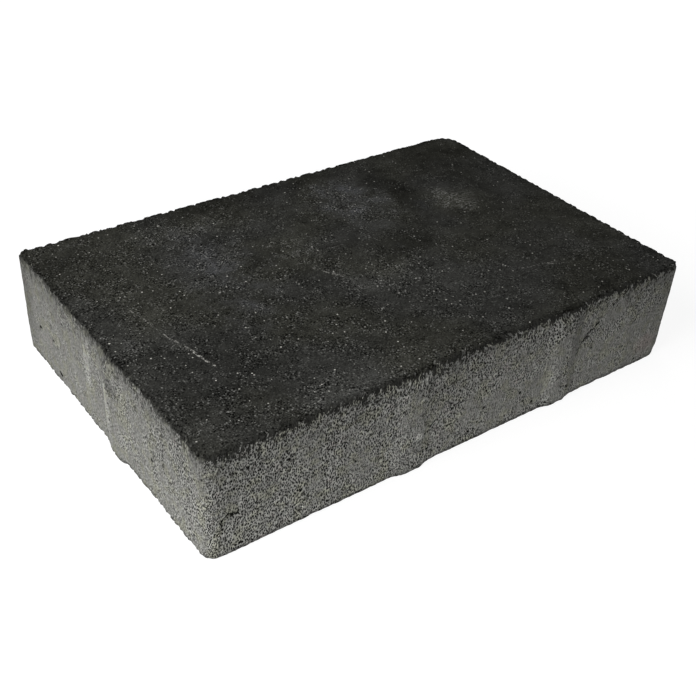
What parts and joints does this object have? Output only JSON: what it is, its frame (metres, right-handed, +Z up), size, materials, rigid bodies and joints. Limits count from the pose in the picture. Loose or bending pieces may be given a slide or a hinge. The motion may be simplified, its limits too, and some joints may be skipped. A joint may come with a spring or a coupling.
{
  "type": "concrete patio tile",
  "caption": "Thick rectangular cast concrete slab with a dark wearing face, raw grey sides and upright spacer ribs on all four sides.",
  "frame": {"origin": "centre of the bed, at the level the tile lies on", "axes": "+X along the length, +Y across the width away from the front long side, +Z up out of the wearing face"},
  "size_m": [0.302, 0.202, 0.06],
  "materials": {
    "concrete": "matt vibro-pressed concrete, through-coloured anthracite on the wearing face, raw grey on the sides and the bed"
  },
  "bodies": {
    "root": {"patio_tile": "concrete"}
  },
  "joints": []
}
